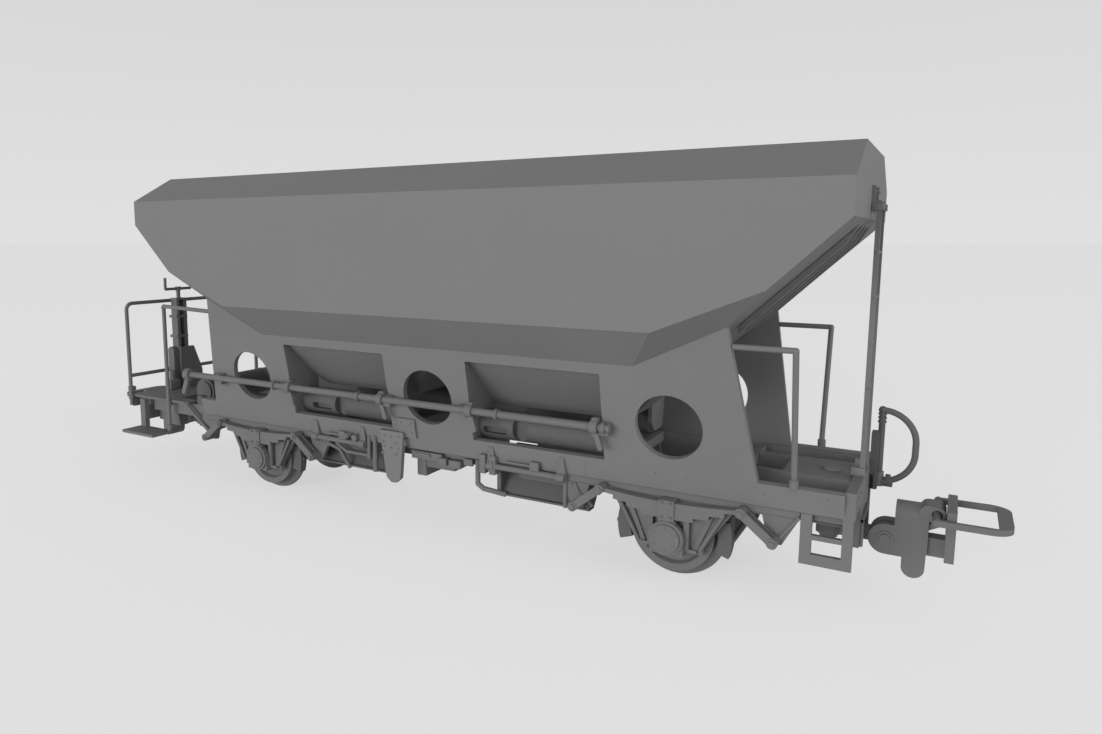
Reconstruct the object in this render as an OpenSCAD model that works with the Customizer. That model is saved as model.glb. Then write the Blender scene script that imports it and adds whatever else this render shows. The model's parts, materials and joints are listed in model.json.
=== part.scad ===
// Model of a narrow-gauge bogieless hopper wagon that discharges to both sides.
// X runs along the wagon with the end ladder at +X, Y across it, Z up from the flange tips.

/* [Hopper] */
// Length of the hopper over its upright end faces
hopper_len = 90; // [74:0.5:110]
// Width of the hopper over its side sheets
hopper_w = 29.8; // [24.6:0.2:36]
// Height of the rim
rim_z = 43.5; // [41.5:0.1:54]
// Height of the fold below the inward leaning top band
fold_z = 40.1; // [38.5:0.1:41]
// Width of the mouth over the rim
mouth_w = 17.5; // [12:0.1:22]
// Height at which each end face turns into its slope
end_fold_z = 36.9; // [34:0.1:38.4]
// Slope of the end sheets from the horizontal, in degrees
end_slope = 43.6; // [40:0.1:48]
// Height at which the side sheets turn inwards
side_fold_z = 26.5; // [25.5:0.1:27.5]
// Length of the slanting corner facet along the side fold, from the end face
corner_run = 16.6; // [15:0.1:18]
// Length of the same facet along the skirt's top, from the end face
corner_foot_run = 19.5; // [18.5:0.1:21]
// Height at which the corner facet meets the end slope
corner_top_z = 30.7; // [29.5:0.1:32]
// Height of the outlets at the bottom of the hopper
outlet_z = 15.5; // [15.2:0.1:16.4]
// Thickness of the hopper and skirt sheets
sheet = 0.7; // [0.5:0.05:0.9]

/* [Skirt and frame] */
// Width of the frame over the feet of the leaning skirts
foot_w = 16.72; // [16.4:0.02:19]
// Height of the lower edge of the side beams
foot_z = 9.75; // [9.6:0.05:10.4]
// Height of the top of the side beams
beam_top_z = 12.1; // [11.6:0.1:12.8]
// Lean of the skirt, outward travel for each unit of height
lean = 0.207; // [0.12:0.001:0.25]
// Length of each skirt along the side beam
skirt_len = 74.8; // [70:0.1:82]
// Radius of the round holes in the skirts
hole_r = 3.41; // [2.6:0.01:3.7]
// Height of the centres of the round holes
hole_z = 16.6; // [16.4:0.1:17.4]
// Centre of each discharge opening from the middle of the wagon
opening_x = 13.86; // [13.4:0.02:14.4]
// Length of each discharge opening
opening_w = 16.1; // [12:0.1:17]
// Height of the top of the discharge openings
opening_top_z = 21.5; // [19:0.1:21.9]
// Outer face of the front headstock from the middle of the hopper
front_x = 45.9; // [45.2:0.1:60]
// Outer face of the rear headstock from the middle of the hopper
rear_x = 53.8; // [50:0.1:68]

/* [Running gear] */
// Distance between the axles
wheelbase = 57.8; // [54:0.1:68]
// Radius of the wheels over their flanges
flange_r = 5.18; // [5:0.01:5.4]
// Radius of the wheel treads
tread_r = 4.3; // [4:0.01:4.4]
// Distance between the backs of the wheels
back_to_back = 10.2; // [9.6:0.1:10.4]
// Width of each wheel
wheel_w = 2.0; // [1.6:0.05:2.05]
// Width of the flange within the wheel
flange_w = 0.7; // [0.5:0.05:0.9]
// Radius of the axle between the wheels
axle_r = 0.9; // [0.6:0.05:1.2]
// Radius of the axle journals
journal_r = 0.55; // [0.4:0.05:0.7]
// Radial clearance of the journals in the axleboxes
journal_gap = 0.06; // [0.03:0.01:0.09]
// Length of the top leaf of each spring
spring_len = 14.4; // [12:0.1:15]
// Thickness of one spring leaf
leaf_t = 0.42; // [0.3:0.02:0.5]

/* [Platform and fittings] */
// Height of the platform floor
floor_z = 11.1; // [10.8:0.1:12]
// Length of the platform floor
floor_len = 9.2; // [8:0.1:10]
// Diameter of the handrail tube
tube_d = 0.56; // [0.4:0.02:0.7]
// Height of the handrails
rail_z = 25.2; // [22:0.1:26]
// Distance between the rungs of the end ladder
rung_pitch = 4.3; // [3.4:0.1:5]
// Width of the end ladder over its stiles
ladder_w = 3.9; // [3:0.1:5]
// Height of the operating shafts
shaft_z = 15.9; // [15.5:0.1:17]
// Radius of the operating shafts
shaft_r = 0.42; // [0.3:0.02:0.5]
// Diameter of the brake hoses
hose_d = 0.62; // [0.5:0.02:0.8]

/* [Couplers] */
// Height of the coupler loops
loop_z = 9.35; // [9:0.05:9.6]
// Width of the coupler loops
loop_w = 7.9; // [6:0.1:9]
// Reach of each coupler loop beyond its headstock
coupler_reach = 12.3; // [11.8:0.1:13]
// Radial clearance of the pins that the couplers turn on
pin_gap = 0.08; // [0.04:0.01:0.1]

/* [Hidden] */
$fn = 48;

near = -1;
far = 1;
front = 1;
rear = -1;
big = 200;                               // longer than anything cut by it
shell_grey = [0.62, 0.62, 0.62];
frame_grey = [0.55, 0.55, 0.55];
gear_grey = [0.48, 0.48, 0.48];
dark_grey = [0.40, 0.40, 0.40];

mid_x = (front_x - rear_x) / 2;          // the origin lies midway between the loop ends
half_len = hopper_len / 2;
half_w = hopper_w / 2;
foot_y = foot_w / 2;
lean_deg = atan(lean);
sheet_in = sheet / cos(lean_deg);        // the skirt's thickness measured level
axle_x = wheelbase / 2;
axle_z = flange_r;
wheel_in = back_to_back / 2;
wheel_out = wheel_in + wheel_w;
sole_in = wheel_out + 0.3;               // inner faces of the sole bars, clear of the wheels
sole_out = foot_y - sheet_in;            // outer faces, on the backs of the side beams
sole_low = foot_z - 0.85;
guard_t = 0.55;                          // thickness of the axle guard plates
guard_out = sole_out + guard_t;
box_out = guard_out + 1.75;              // outer faces of the axleboxes
spring_w = 1.0;                          // width of the spring leaves
spring_y = guard_out + 0.35 + spring_w / 2;
rail_x = half_len - 4.4;                 // front handrail posts
post_y = foot_y + lean * (beam_top_z - foot_z) - sheet_in / 2;
skirt_top_z = (side_fold_z - half_w + foot_y - lean * foot_z) / (1 - lean);

function skirt_y(z) = foot_y + lean * (z - foot_z);
function end_x(z) = half_len - (end_fold_z - z) / tan(end_slope);
function up_sheet(z) = (z - foot_z) / cos(lean_deg);
function unit(v) = v / norm(v);
function left(v) = [-v[1], v[0]];

// The convex outline drawn inside another one, the given distance from each edge
function inset(outline, t) = let (n = len(outline)) [
  for (i = [0 : n - 1])
    let (
      before = unit(outline[i] - outline[(i + n - 1) % n]),
      after = unit(outline[(i + 1) % n] - outline[i])
    )
    outline[i] + t * (left(before) + left(after)) / (1 + before * after)
];

// The point where three planes meet, each given as [normal, distance]
function meet(a, b, c) =
  (a[1] * cross(b[0], c[0]) + b[1] * cross(c[0], a[0]) + c[1] * cross(a[0], b[0])) / (a[0] * cross(b[0], c[0]));

// The corner facet runs through these points on the side fold, the end slope and the skirt's top
corner_fold = [half_len - corner_run, half_w, side_fold_z];
corner_top = [end_x(corner_top_z), half_w, corner_top_z];
corner_foot = [half_len - corner_foot_run, skirt_y(skirt_top_z), skirt_top_z];
corner_normal = unit(cross(corner_top - corner_fold, corner_foot - corner_fold));
corner_out = corner_normal[2] > 0 ? -corner_normal : corner_normal;
slope_normal = [sin(end_slope), 0, -cos(end_slope)];
skirt_normal = unit([0, 1, -lean]);
skirt_peak = meet(
  [corner_out, corner_out * corner_fold],
  [slope_normal, slope_normal * [half_len, 0, end_fold_z]],
  [skirt_normal, skirt_normal * [0, foot_y, foot_z]]
);

module home() translate([-mid_x, 0, 0]) children();
// Parts of one side are drawn on the near side, at -Y, and mirrored to the far one
module on_side(side) mirror([0, side > 0 ? 1 : 0, 0]) children();
// Parts of one end are drawn at the front, at +X, and mirrored to the rear one
module on_end(end) mirror([end < 0 ? 1 : 0, 0, 0]) children();
// A flat shape drawn in X and Z, thick from y0 to y1
module slab(y0, y1) translate([0, y1, 0]) rotate([90, 0, 0]) linear_extrude(y1 - y0) children();
// A flat shape drawn in Y and Z, thick from x0 to x1
module cross_slab(x0, x1) translate([x0, 0, 0]) rotate([90, 0, 90]) linear_extrude(x1 - x0) children();
// A box from one corner to the opposite one
module block(low, high) translate(low) cube(high - low);
// A round bar from a to b
module bar(a, b, r) translate(a) rotate([0, acos((b - a)[2] / norm(b - a)), atan2((b - a)[1], (b - a)[0])])
  cylinder(r = r, h = norm(b - a), $fn = 24);
// A round pin across the wagon, from y0 to y1
module cross_pin(x, z, y0, y1, r) translate([x, y1, z]) rotate([90, 0, 0]) cylinder(r = r, h = y1 - y0);
// A sheet in the plane of the near skirt, drawn in X and the height up the sheet
module skirt_sheet(t) translate([0, -foot_y, foot_z]) rotate([90 + lean_deg, 0, 0])
  translate([0, 0, -t]) linear_extrude(t) children();
// Everything on the outer side of a corner facet that lies the given depth inside the hopper
module beyond_corner(depth) for (sx = [0, 1], sy = [0, 1])
  mirror([sx, 0, 0]) mirror([0, sy, 0])
    translate(corner_fold - depth * corner_out)
      rotate([0, acos(corner_out[2]), atan2(corner_out[1], corner_out[0])])
        translate([-big / 2, -big / 2, 0]) cube(big);

// ---- hopper ----
outlet_half = half_w - (side_fold_z - outlet_z);
side_outline = [
  [-outlet_half, outlet_z], [outlet_half, outlet_z], [half_w, side_fold_z], [half_w, fold_z],
  [mouth_w / 2, rim_z], [-mouth_w / 2, rim_z], [-half_w, fold_z], [-half_w, side_fold_z]
];
end_outline = [
  [-end_x(outlet_z), outlet_z], [end_x(outlet_z), outlet_z], [half_len, end_fold_z], [half_len, rim_z],
  [-half_len, rim_z], [-half_len, end_fold_z]
];

module hopper_outer() difference() {
  intersection() {
    cross_slab(-big, big) polygon(side_outline);
    slab(-big, big) polygon(end_outline);
  }
  beyond_corner(0);
}

// The space between the side sheets and the corner facets, open at the mouth and the outlets
module between_sides() difference() {
  cross_slab(-big, big) {
    polygon(inset(side_outline, sheet));
    translate([-mouth_w / 2 + sheet, rim_z - 3 * sheet]) square([mouth_w - 2 * sheet, 4 * sheet]);
    translate([-outlet_half + 1.5 * sheet, outlet_z - sheet]) square([2 * outlet_half - 3 * sheet, 3 * sheet]);
  }
  beyond_corner(sheet);
}

// The space between the end sheets
module between_ends() slab(-big, big) {
  polygon(inset(end_outline, sheet));
  translate([-half_len + sheet, rim_z - 2 * sheet]) square([hopper_len - 2 * sheet, 4 * sheet]);
  translate([-end_x(outlet_z) + 1.5 * sheet, outlet_z - sheet])
    square([2 * end_x(outlet_z) - 3 * sheet, 3 * sheet]);
}

module hopper_side(side) color(shell_grey) home() on_side(side) difference() {
  hopper_outer();
  between_sides();
  under_saddle(0);
  block([-big, 0, -big], [big, big, big]);
}

module hopper_end(end) color(shell_grey) home() on_end(end) difference() {
  intersection() {
    hopper_outer();
    between_sides();
    block([0, -big, -big], [big, big, big]);
  }
  between_ends();
}

// The two slopes that part the load between the front and rear outlets, and the gap beneath them
saddle_foot = 5.6;
module under_saddle(rise) slab(-big, big) polygon([
  [-saddle_foot, outlet_z - 2 * sheet], [-saddle_foot, outlet_z + rise],
  [0, outlet_z + rise + saddle_foot * tan(end_slope)],
  [saddle_foot, outlet_z + rise], [saddle_foot, outlet_z - 2 * sheet]
]);

module hopper_saddle() color(shell_grey) home() difference() {
  intersection() {
    under_saddle(sheet / cos(end_slope));
    between_sides();
    hopper_outer();
  }
  under_saddle(0);
}

// ---- skirts and frame ----
plate_t = 0.5;
plate_in = 4.2;                          // inner edge of the cross plates, from the middle plane
plate_low = beam_top_z + 0.2;
plate_back = 0.1;                        // the cross plates stand this far behind the openings' edges
module skirt(side) color(shell_grey) home() on_side(side) difference() {
  union() {
    skirt_outline();
    for (s = [-1, 1], x = [opening_x - drum_len / 2 - plate_t, opening_x + drum_len / 2])
      on_end(s) cross_slab(x, x + plate_t) polygon([
        [-skirt_y(plate_low) + sheet_in / 2, plate_low], [-skirt_y(skirt_top_z) + sheet_in / 2, skirt_top_z + sheet],
        [-plate_in, outlet_z + sheet], [-plate_in, plate_low + 1.2], [-plate_in - 1.2, plate_low]
      ]);
  }
  hopper_outer();
}

// The near skirt before the hopper is cut from it
module skirt_outline() skirt_sheet(sheet) difference() {
  polygon([
    [-skirt_len / 2, up_sheet(beam_top_z)], [skirt_len / 2, up_sheet(beam_top_z)],
    [skirt_peak[0], up_sheet(skirt_peak[2])], [corner_foot[0], up_sheet(skirt_top_z) + sheet],
    [-corner_foot[0], up_sheet(skirt_top_z) + sheet], [-skirt_peak[0], up_sheet(skirt_peak[2])]
  ]);
  for (x = [-opening_x, opening_x])
    translate([x - opening_w / 2, up_sheet(beam_top_z)])
      square([opening_w, up_sheet(opening_top_z) - up_sheet(beam_top_z)]);
  for (x = [-axle_x, 0, axle_x])
    translate([x, up_sheet(hole_z)]) circle(r = hole_r);
}

beam_rear_x = 40.5;                      // the leaning beams stop here at the platform end
foot_flange = 0.5;                       // height of the flange that sits on the sole bar
front_inner_x = front_x - 0.9;           // back of the front headstock
module side_beam(side) color(shell_grey) home() on_side(side) {
  skirt_sheet(sheet) translate([-beam_rear_x, 0])
    square([beam_rear_x + front_inner_x, up_sheet(beam_top_z)]);
  cross_slab(-beam_rear_x, front_inner_x) polygon([
    [-foot_y + sheet_in / 2, foot_z], [-sole_out, foot_z], [-sole_out, foot_z + foot_flange],
    [-skirt_y(foot_z + foot_flange) + sheet_in / 2, foot_z + foot_flange]
  ]);
}

cross_members = [-34.6, -22.6, -5.6, 5.6, 22.6, 34.6];
cross_w = 0.8;
cross_low = 10.75;
rear_inner_x = rear_x - 0.9;
sole_top = beam_top_z - 0.2;
floor_t = 0.4;
module underframe() color(frame_grey) home() {
  for (side = [near, far]) on_side(side)
    slab(-sole_out, -sole_in) polygon([
      [-rear_inner_x, sole_low], [front_inner_x, sole_low], [front_inner_x, sole_top],
      [-beam_rear_x, sole_top], [-beam_rear_x, floor_z - floor_t], [-rear_inner_x, floor_z - floor_t]
    ]);
  for (x = cross_members)
    block([x - cross_w / 2, -sole_in - 0.01, cross_low], [x + cross_w / 2, sole_in + 0.01, sole_top]);
}

draft_y = 3;                             // the draft sills stand this far from the middle
head_t = 0.9;
slot_half = 1.5;
shank_z = 6.2;                           // height of the pin through the coupler cheeks
module headstock_plate(x, half, low, top) difference() {
  cross_slab(x - head_t, x) polygon([
    [-half, foot_z], [-draft_y - 0.8, foot_z], [-draft_y, low], [draft_y, low], [draft_y + 0.8, foot_z],
    [half, foot_z], [half, top], [-half, top]
  ]);
  block([x - 2 * head_t, -slot_half, shank_z - 1.1], [x + head_t, slot_half, shank_z + 1.1]);
}

module headstock_front() color(frame_grey) home() headstock_plate(front_x, foot_y, 5.4, beam_top_z + 0.2);
module headstock_rear() color(frame_grey) home() on_end(rear)
  headstock_plate(rear_x, foot_y, 5.4, floor_z - floor_t);

// The sills behind a headstock, the plate over them and the post that the coupler swings on
pivot_back = 3.1;                        // the post stands this far behind the headstock's face
pivot_r = 0.5;
sill_t = 0.5;
boss_r = 0.87;
module draft_plate(end, head_x, top) color(frame_grey) home() on_end(end) {
  sill_x = cross_members[5] + cross_w / 2;
  for (side = [near, far]) on_side(side)
    block([sill_x, -draft_y - sill_t, cross_low - 0.6], [head_x - head_t, -draft_y, top]);
  block([head_x - head_t - 6.4, -draft_y - 0.01, top - 0.4], [head_x - head_t, draft_y + 0.01, top]);
  translate([head_x - pivot_back, 0, 0]) {
    if (end > 0) translate([0, 0, top - 0.01]) cylinder(r = boss_r, h = 0.26);
    translate([0, 0, shank_z - eye_t / 2 - 0.3]) cylinder(r = pivot_r, h = top - 0.2 - shank_z + eye_t / 2 + 0.3);
    translate([0, 0, shank_z - eye_t / 2 - 0.4]) cylinder(r = pivot_r + 0.35, h = 0.3);
  }
}

// ---- discharge gear ----
drum_len = opening_w + 2 * plate_back;
drum_y = 5.9;
drum_r = 1.65;
drum_z = outlet_z - 1.9;
pocket_x = [-15.3, 11.1];                // upright pockets in the drums, from the middle of the wagon
pocket_depth = 0.9;
pocket_r = 0.9;
slot_r = 0.4;                            // a level slot beside each pocket
module drum(side) color(dark_grey) home() on_side(side) difference() {
  for (x = [-opening_x, opening_x])
    translate([x - drum_len / 2, -drum_y, drum_z]) rotate([0, 90, 0]) cylinder(r = drum_r, h = drum_len);
  for (x = pocket_x) {
    slab(-drum_y - drum_r - 1, -drum_y - drum_r + pocket_depth)
      link([x, drum_z - 0.5], [x, drum_z + 0.5], pocket_r);
    slab(-drum_y - drum_r - 1, -drum_y - drum_r + pocket_depth)
      link([x - 4.4, drum_z - slot_r], [x - 2, drum_z - slot_r], slot_r);
  }
}

chute_half = 5.8;                        // half the length of a discharge chute
chute_in = 2.2;
chute_out = sole_in - 0.15;
chute_top = cross_low - 0.1;
chute_low = 5.6;
chute_t = 0.5;
module chute(end, side) color(dark_grey) home() on_end(end) on_side(side) difference() {
  translate([opening_x, 0, 0]) cross_slab(-chute_half, chute_half) polygon([
    [-chute_in, chute_top], [-chute_out, chute_top], [-chute_out, chute_low], [-chute_out + 1.2, chute_low]
  ]);
  translate([opening_x, 0, 0]) cross_slab(-chute_half + chute_t, chute_half - chute_t) polygon([
    [-chute_in - 1.2 * chute_t, chute_top + 1], [-chute_out - 1, chute_top + 1], [-chute_out - 1, chute_low - 1],
    [-chute_out + 0.9 - chute_t, chute_low - 1], [-chute_out + 0.9 - chute_t, chute_low]
  ]);
}

// ---- running gear ----
guard_low = 3.85;
tie_h = 0.6;                             // height of the bar that ties the foot of the guard
horn_half = 1.35;
horn_top = axle_z + 1.72;
hanger_x = 10.2;                         // spring pins from the axle
hanger_z = 6.7;
guard_half = 12.3;                       // the guards reach this far from their axles
module axle_guard(end, side) color(gear_grey) home() on_end(end) on_side(side) {
  slab(-guard_out, -sole_out) translate([axle_x, 0]) difference() {
    union() {
      translate([-guard_half, sole_low]) square([2 * guard_half, foot_z - sole_low]);
      polygon([[-6.6, sole_low + 0.1], [-3.1, guard_low], [3.1, guard_low], [6.6, sole_low + 0.1]]);
      translate([-3.4, guard_low - tie_h / 2]) square([6.8, tie_h]);
      for (s = [-1, 1])
        polygon([
          [s * 8.9, sole_low + 0.1], [s * guard_half, sole_low + 0.1], [s * (hanger_x + 0.6), hanger_z - 0.5],
          [s * (hanger_x - 0.6), hanger_z - 0.5]
        ]);
    }
    translate([-horn_half, guard_low + tie_h / 2]) square([2 * horn_half, horn_top - guard_low - tie_h / 2]);
  }
  slab(-guard_out - 0.25, -guard_out + 0.01) translate([axle_x, 0]) for (s = [-1, 1]) polygon([
    [s * 4.3, sole_low - 0.2], [s * 4.8, sole_low - 0.2], [s * 2.9, guard_low + 0.2], [s * 2.4, guard_low + 0.2]
  ]);
}

box_r = 1.72;
module axlebox(end, side) color(gear_grey) home() on_end(end) on_side(side) difference() {
  union() {
    slab(-guard_out, -sole_out) translate([axle_x - horn_half, guard_low + tie_h / 2])
      square([2 * horn_half, axle_z + box_r - guard_low - tie_h / 2]);
    slab(-box_out + 0.5, -guard_out) translate([axle_x, axle_z]) circle(r = box_r - 0.1);
    slab(-box_out + 0.5, -guard_out) translate([axle_x - box_r, axle_z - box_r])
      square([2 * box_r, box_r]);
    slab(-box_out + 0.25, -guard_out - 0.8) translate([axle_x, axle_z]) circle(r = box_r + 0.08);
    slab(-box_out, -box_out + 0.3) translate([axle_x, axle_z]) circle(r = box_r - 0.25);
    slab(-spring_y + 0.4 - 0.8, -spring_y + 0.4) translate([axle_x - 0.9, axle_z])
      square([1.8, spring_seat - axle_z]);
  }
  cross_pin(axle_x, axle_z, -journal_end - 0.1, 0, journal_r + journal_gap);
}

spring_bend = 60;                        // radius of the top leaf
leaves = 4;
spring_top = foot_z - 0.85;              // top of the top leaf at the buckle
spring_seat = spring_top - leaves * leaf_t - 0.2;
eye_r = 0.5;
link_r = 0.42;
module leaf(k) difference() {
  translate([-spring_len / 2 + k * 1.5, spring_top - (k + 1) * leaf_t - 0.2])
    square([spring_len - 3 * k, leaf_t + 1.6]);
  translate([0, spring_top - k * leaf_t + spring_bend]) circle(r = spring_bend, $fn = 360);
  difference() {
    translate([-spring_len, spring_top - 4 * leaf_t - 2]) square([2 * spring_len, 6]);
    translate([0, spring_top - k * leaf_t + spring_bend]) circle(r = spring_bend + leaf_t, $fn = 360);
  }
}

module spring(end, side) color(gear_grey) home() on_end(end) on_side(side) translate([axle_x, 0, 0]) {
  eye_x = spring_len / 2;
  eye_z = spring_top + eye_x * eye_x / 2 / spring_bend - leaf_t / 2;
  slab(-spring_y - spring_w / 2, -spring_y + spring_w / 2) for (k = [0 : leaves - 1]) leaf(k);
  slab(-spring_y - spring_w / 2 - 0.2, -spring_y + spring_w / 2 + 0.12)
    translate([-0.8, spring_seat]) square([1.6, spring_top + 0.25 - spring_seat]);
  for (s = [-1, 1]) {
    cross_pin(s * eye_x, eye_z, -spring_y - spring_w / 2 - 0.3, -spring_y + spring_w / 2, eye_r);
    cross_pin(s * hanger_x, hanger_z, -spring_y - spring_w / 2 - 0.3, -guard_out, eye_r);
    for (y = [-spring_y - spring_w / 2 - 0.2, -spring_y + spring_w / 2 - 0.25])
      slab(y, y + 0.28) link([s * eye_x, eye_z], [s * hanger_x, hanger_z], link_r);
  }
}

// A flat bar with round ends, from a to b
module link(a, b, r) {
  translate(a) circle(r = r);
  translate(b) circle(r = r);
  translate(a) rotate(atan2((b - a)[1], (b - a)[0])) translate([0, -r]) square([norm(b - a), 2 * r]);
}

journal_end = guard_out + 1.15;
module axle(end) color(gear_grey) home() translate([end * axle_x, 0, axle_z]) rotate([90, 0, 0])
  rotate_extrude() polygon([
    [0, -journal_end], [journal_r, -journal_end], [journal_r, -sole_in + 0.1], [axle_r, -sole_in + 0.2],
    [axle_r, sole_in - 0.2], [journal_r, sole_in - 0.1], [journal_r, journal_end], [0, journal_end]
  ]);

hub_r = 1.5;
rim_in = 3.5;
module wheel(end, side) color(gear_grey) home() on_side(side)
  translate([end * axle_x, -wheel_in, axle_z]) rotate([90, 0, 0]) rotate_extrude($fn = 96) polygon([
    [axle_r, 0], [rim_in, 0], [flange_r - 0.25, 0], [flange_r, 0.2], [flange_r - 0.1, flange_w * 0.7],
    [tread_r + 0.25, flange_w], [tread_r, flange_w + 0.2], [tread_r - 0.05, wheel_w], [rim_in, wheel_w],
    [rim_in - 0.2, wheel_w - 0.55], [hub_r + 0.1, wheel_w - 0.45], [hub_r, wheel_w], [axle_r, wheel_w]
  ]);

// Shoes on one side of an axle, the beam between them and the straps that hang them
shoe_in = tread_r + 0.3;
shoe_out = tread_r + 1.7;
module brake_gear(end) color(dark_grey) home() on_end(end) for (s = [-1, 1]) {
  strap_x = s < 0 ? cross_members[4] : cross_members[5];
  for (side = [near, far]) on_side(side) {
    slab(-wheel_out, -wheel_in - flange_w - 0.25) translate([axle_x, axle_z]) intersection() {
      difference() {
        circle(r = shoe_out);
        circle(r = shoe_in);
      }
      polygon([[0, 0], [s * 9, -3], [s * 9, 3]]);
    }
    slab(-wheel_in - flange_w - 0.75, -wheel_in - flange_w - 0.25)
      link([axle_x + s * (shoe_out - 0.4), axle_z + 0.6], [strap_x, cross_low + 0.01 - 0.35], 0.35);
  }
  cross_pin(axle_x + s * (shoe_out - 0.1), axle_z, -wheel_out + 0.3, wheel_out - 0.3, 0.32);
  if (end < 0 && s > 0) air_tank();
}

// The tank of the air brake lies across the sole bars, between the skirts and the platform
tank_x = 42.3;
tank_r = 1.9;
tank_half = 6.6;
tank_z = floor_z - floor_t + tank_r + 0.06;
tank_foot = 0.6;                         // half the width of its two feet
module air_tank() {
  cross_pin(tank_x, tank_z, -tank_half, tank_half, tank_r);
  for (side = [near, far]) on_side(side) {
    cross_pin(tank_x, tank_z, -tank_half - 0.3, -tank_half + 0.01, tank_r - 0.4);
    block([tank_x - tank_foot, -sole_out, floor_z - floor_t], [tank_x + tank_foot, -tank_half + 0.8, tank_z - tank_foot]);
  }
}

// The riveted bracket under the middle of each skirt
module middle_bracket(side) color(shell_grey) home() on_side(side) {
  pad(0.3) translate([-4.7, up_sheet(11.3)]) square([2.5, 2.4]);
  slab(-foot_y - 1.1, -foot_y - 0.5) polygon([[-7.4, 11.8], [-3.8, 11.8], [-4.3, 6], [-5, 5.4], [-5.7, 5.4], [-6.4, 6]]);
  pad(0.7) translate([-4.9, up_sheet(10.2)]) square([1.2, 0.8]);
  for (x = [-6.9, -4.9], z = [9, 10.4]) cross_pin(x, z, -foot_y - 1.22, -foot_y - 1, 0.16);
}
// A pad that stands out from the near skirt by the given height
module pad(height) translate([0, -foot_y, foot_z]) rotate([90 + lean_deg, 0, 0]) linear_extrude(height) children();

shaft_y = skirt_y(shaft_z) + 0.85;
shaft_rear = 41.4;
shaft_front = opening_x + opening_w / 2 + 1.2;
collar_r = 0.72;
module operating_shaft(side) color(gear_grey) home() on_side(side) {
  translate([-shaft_rear, -shaft_y, shaft_z]) rotate([0, 90, 0]) cylinder(r = shaft_r, h = shaft_rear + shaft_front);
  for (s = [-1, 1], edge = [opening_x - opening_w / 2, opening_x + opening_w / 2]) {
    inner = edge < opening_x ? 1 : -1;
    translate([s * (edge + inner * 0.5) - 0.4, -shaft_y, shaft_z]) rotate([0, 90, 0]) cylinder(r = collar_r, h = 0.8);
    difference() {
      pad(1.1) translate([s * (edge - inner * 0.5) - 0.5, up_sheet(shaft_z) - 0.6]) square([1, 1.2]);
      block([-big, -big, -big], [big, -shaft_y - shaft_r, big]);
    }
    slab(-shaft_y - 0.25, -shaft_y + 0.25)
      link([s * (edge + inner * 0.5), shaft_z], [s * (edge + inner * 0.5) + 0.7, shaft_z - 2.1], 0.26);
  }
  difference() {
    pad(1.1) translate([-skirt_peak[0] - 0.6, up_sheet(shaft_z) - 0.7]) square([1.2, 1.4]);
    block([-big, -big, -big], [big, -shaft_y - shaft_r, big]);
  }
  translate([-shaft_rear, -shaft_y, shaft_z]) rotate([0, 90, 0]) cylinder(r = collar_r + 0.1, h = 1);
  slab(-shaft_y - 0.25, -shaft_y + 0.25) link([-shaft_rear + 0.5, shaft_z], [-shaft_rear - 0.6, shaft_z - 2.6], 0.35);
}

// ---- couplers, drawn from the face of their headstock ----
eye_t = 1.3;
cheek_x = 2.1;
head_back = 2.85;
head_len = 2.85;
head_low = 5.35;
head_top = 9.9;
head_round = 1.1;
head_half = 1.3;
tail_r = 1;
tail_low = 2.8;
tail_x = 4.6;
lift_x = 6.3;                            // the loop turns between the head and the buffer plate
lug_r = 0.75;
lift_r = 0.36;
buffer_x = 7.1;
buffer_t = 0.8;
buffer_half = 3.1;
module coupler(end) color(gear_grey) home() on_end(end) translate([end > 0 ? front_x : rear_x, 0, 0]) difference() {
  union() {
    translate([-pivot_back, 0, shank_z - eye_t / 2]) cylinder(r = pivot_r + 0.7, h = eye_t);
    block([-pivot_back, -0.5, shank_z - eye_t / 2], [head_back + 0.1, 0.5, shank_z + eye_t / 2]);
    for (side = [near, far]) on_side(side) slab(-head_half, -0.49)
      link([cheek_x, shank_z], [head_back + 1, shank_z], 1.5);
    cross_pin(cheek_x, shank_z, -head_half - 0.2, head_half + 0.2, 0.55);
    cross_slab(head_back, head_back + head_len) {
      translate([-head_half, head_low]) square([2 * head_half, head_top - head_round - head_low]);
      translate([-head_half + head_round, head_top - head_round - 0.01])
        square([2 * (head_half - head_round), head_round + 0.01]);
      for (s = [-1, 1]) translate([s * (head_half - head_round), head_top - head_round]) circle(r = head_round);
    }
    slab(-head_half, head_half) link([tail_x, head_low + 0.2], [tail_x, tail_low + tail_r], tail_r);
    slab(-head_half, head_half) link([head_back + head_len - 0.1, loop_z], [lift_x, loop_z], lug_r);
    block([head_back + head_len - 0.1, -0.8, 5.1], [buffer_x + 0.1, 0.8, 6.9]);
    cross_slab(buffer_x, buffer_x + buffer_t) translate([-buffer_half, 5.5]) square([2 * buffer_half, 4.8]);
  }
  translate([-pivot_back, 0, 0]) cylinder(r = pivot_r + pin_gap, h = 3 * shank_z);
  cross_pin(lift_x, loop_z, -head_half - 1, head_half + 1, lift_r + pin_gap);
}

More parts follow.
